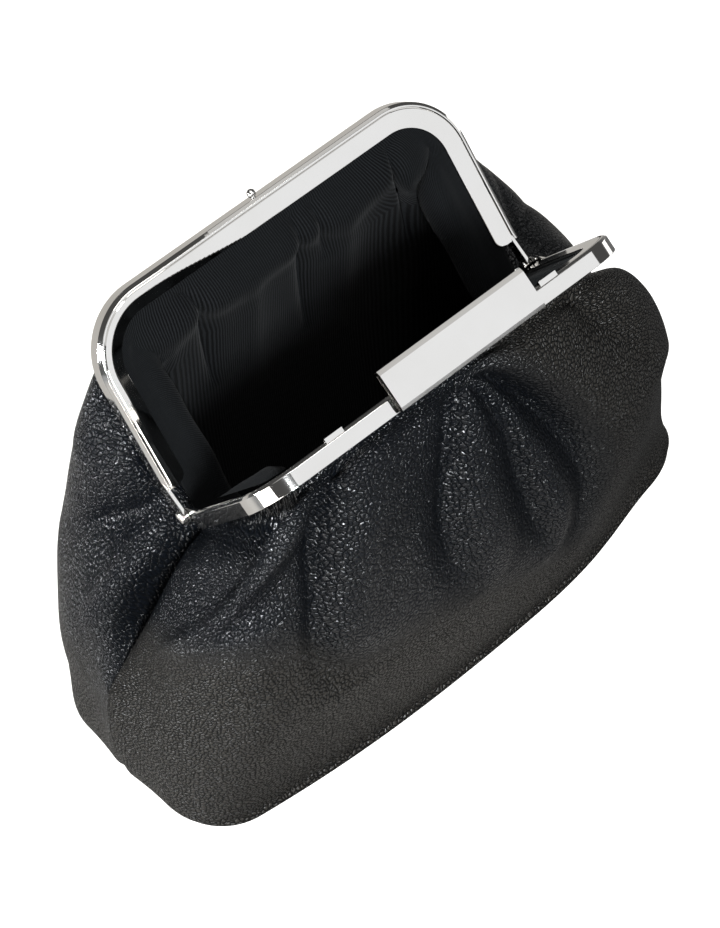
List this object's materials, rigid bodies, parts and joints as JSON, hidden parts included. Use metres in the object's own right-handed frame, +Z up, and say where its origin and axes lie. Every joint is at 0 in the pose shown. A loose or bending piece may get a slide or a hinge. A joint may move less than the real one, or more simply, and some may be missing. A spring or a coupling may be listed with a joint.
{
  "type": "framed shoulder bag",
  "caption": "Small gathered leather pouch bag with a twill lining, standing open in a hinged polished metal frame with a sliding clasp bar and a ball stud.",
  "frame": {"origin": "middle of the base, on the surface that the bag stands on", "axes": "+X along the frame's bar to the right, -Y towards the front, +Z up"},
  "size_m": [0.2366, 0.1241, 0.1725],
  "materials": {
    "leather": "black, pebbled, semi-gloss",
    "twill": "charcoal cotton twill, matte",
    "polished_metal": "mirror-polished nickel"
  },
  "bodies": {
    "bag": {"front_panel": "leather", "back_panel": "leather", "front_lining": "twill", "back_lining": "twill", "front_frame": "polished_metal", "back_frame": "polished_metal", "catch_stud": "polished_metal", "left_hinge_rivet": "polished_metal", "right_hinge_rivet": "polished_metal"},
    "clasp": {"clasp_slide": "polished_metal"}
  },
  "joints": [
    {"name": "clasp_travel", "type": "slide", "parent": "bag", "child": "clasp", "axis": [-1, 0, 0], "range_m": [0, 0.0076]}
  ]
}
